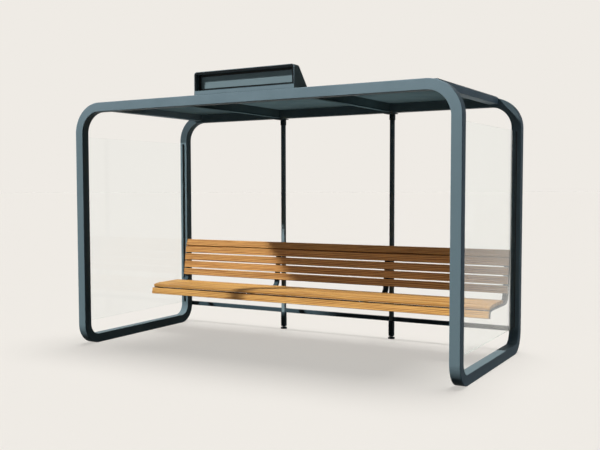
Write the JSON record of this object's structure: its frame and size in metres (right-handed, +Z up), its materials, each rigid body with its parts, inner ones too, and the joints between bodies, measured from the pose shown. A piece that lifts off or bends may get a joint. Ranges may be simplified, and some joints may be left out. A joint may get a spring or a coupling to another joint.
{
  "type": "bus shelter",
  "caption": "Open bus shelter: bent square-tube frame, flat roof, glazed ends, slatted wooden bench with backrest and a display box on the roof.",
  "frame": {"origin": "on the ground at the middle of the shelter's footprint", "axes": "+X along the length to the right, +Y from the open front to the back, +Z up"},
  "size_m": [3.89, 1.9139, 2.603],
  "materials": {
    "painted_frame": "satin",
    "roof_sheet": "satin",
    "end_glass": "gloss",
    "bench_wood": "satin",
    "display_casing": "satin",
    "display_inner_frame": "matte",
    "screen_glass": "gloss"
  },
  "bodies": {
    "root": {"front_left_leg": "painted_frame", "front_left_top_bend": "painted_frame", "front_left_bottom_bend": "painted_frame", "front_right_leg": "painted_frame", "front_right_top_bend": "painted_frame", "front_right_bottom_bend": "painted_frame", "front_roof_beam": "painted_frame", "rear_left_leg": "painted_frame", "rear_left_top_bend": "painted_frame", "rear_left_bottom_bend": "painted_frame", "rear_right_leg": "painted_frame", "rear_right_top_bend": "painted_frame", "rear_right_bottom_bend": "painted_frame", "rear_roof_beam": "painted_frame", "left_ground_bar": "painted_frame", "left_roof_rib": "painted_frame", "left_roof_side_beam": "painted_frame", "left_rear_post": "painted_frame", "left_end_pane": "end_glass", "right_ground_bar": "painted_frame", "right_roof_rib": "painted_frame", "right_roof_side_beam": "painted_frame", "right_rear_post": "painted_frame", "right_end_pane": "end_glass", "roof_panel": "roof_sheet", "post_heads": "painted_frame", "post_feet": "painted_frame", "low_rails": "painted_frame", "bench_bracket_left_end": "painted_frame", "bench_bracket_left_middle": "painted_frame", "bench_bracket_right_middle": "painted_frame", "bench_bracket_right_end": "painted_frame", "seat_slat_1": "bench_wood", "back_slat_1": "bench_wood", "seat_slat_2": "bench_wood", "back_slat_2": "bench_wood", "seat_slat_3": "bench_wood", "back_slat_3": "bench_wood", "seat_slat_4": "bench_wood", "back_slat_4": "bench_wood", "seat_slat_5": "bench_wood", "back_slat_5": "bench_wood", "seat_nose_slat": "bench_wood", "display_housing": "display_casing", "display_bezel": "display_inner_frame", "display_screen": "screen_glass"}
  },
  "joints": []
}
